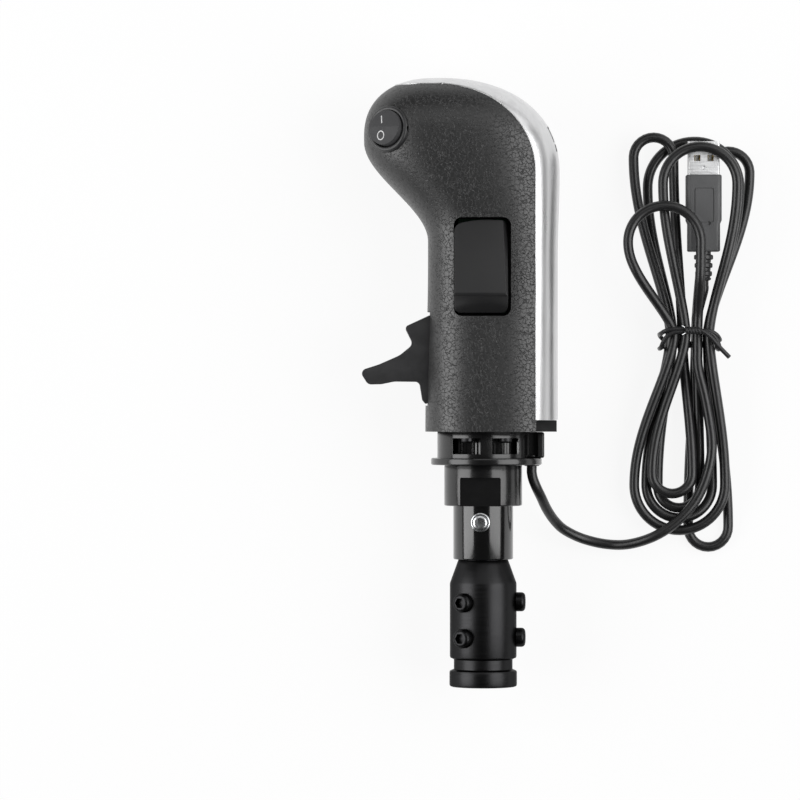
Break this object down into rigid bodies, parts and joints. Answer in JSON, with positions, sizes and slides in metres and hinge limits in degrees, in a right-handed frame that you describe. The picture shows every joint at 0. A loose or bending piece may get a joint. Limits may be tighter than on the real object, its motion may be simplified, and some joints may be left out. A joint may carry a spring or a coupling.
{
  "type": "sim racing gear shifter handle",
  "caption": "Truck-style gear knob handle for sim racing, with a clamp adapter for a shifter lever, range lever, splitter rocker, on-off rocker and a hanked USB cord.",
  "frame": {"origin": "centre of the lever bore at its mouth, on the axis of the gear lever", "axes": "+Y along the lever up to the head, +X to the rear where the silver cover is, +Z out of the left side with the splitter rocker; the part lies on its right side on a table at z = -25 mm"},
  "size_m": [0.1484, 0.228, 0.0535],
  "materials": {
    "anodised_black": "satin black anodised",
    "black_oxide_steel": "satin black oxide",
    "gloss_black_tube": "gloss black",
    "zinc_steel": "bright zinc",
    "gloss_black_plastic": "gloss black",
    "black_plastic": "matte black",
    "core_plastic": "matte dark grey",
    "grained_shell": "leather grain, charcoal",
    "silver_cover": "satin silver",
    "semi_gloss_black": "semi-gloss black",
    "switch_grey": "satin dark grey",
    "board_green": "solder mask green",
    "switch_black": "matte black",
    "pin_steel": "plain steel",
    "terminal_brass": "plain brass",
    "cord_pvc": "satin black",
    "tie_pvc": "satin black",
    "relief_pvc": "satin black",
    "overmould_pvc": "satin dark grey",
    "shell_steel": "bright steel",
    "tongue_white": "white",
    "contact_gold": "gold plated"
  },
  "bodies": {
    "handle": {"adapter_sleeve": "anodised_black", "adapter_screws": "black_oxide_steel", "socket_tube": "gloss_black_tube", "tube_screw": "zinc_steel", "locking_collar": "gloss_black_plastic", "base_flange": "gloss_black_plastic", "cord_gland": "black_plastic", "base_screws": "zinc_steel", "grip_core": "core_plastic", "grip_shell": "grained_shell", "rear_cover": "silver_cover", "cover_screws": "zinc_steel", "main_board": "board_green", "board_screws": "zinc_steel", "range_switch": "switch_black", "range_lever_pin": "pin_steel", "switch_board": "board_green", "side_switches": "switch_black", "side_rocker_pin": "pin_steel", "rocker_housing": "switch_grey", "rocker_terminals": "terminal_brass", "cord_lead": "cord_pvc", "cord_hank": "cord_pvc", "cord_tail": "cord_pvc", "twist_tie": "tie_pvc", "plug_relief": "relief_pvc", "plug_overmould": "overmould_pvc", "plug_shell": "shell_steel", "plug_tongue": "tongue_white", "plug_contacts": "contact_gold"},
    "side_rocker": {"side_rocker": "semi_gloss_black"},
    "range_lever": {"range_lever": "black_plastic"},
    "rocker_button": {"rocker_button": "switch_grey"}
  },
  "joints": [
    {"name": "side_rocker_tilt", "type": "hinge", "parent": "handle", "child": "side_rocker", "pos_m": [0, 0.1574, 0.015], "axis": [1, 0, 0], "range_deg": [0, 8]},
    {"name": "range_lever_tilt", "type": "hinge", "parent": "handle", "child": "range_lever", "pos_m": [-0.012, 0.122, 0], "axis": [0, 0, 1], "range_deg": [-14, 0]},
    {"name": "rocker_button_tilt", "type": "hinge", "parent": "handle", "child": "rocker_button", "pos_m": [-0.03532, 0.20783, 0.01823], "axis": [0.829, 0, 0.5592], "range_deg": [0, 14]}
  ]
}
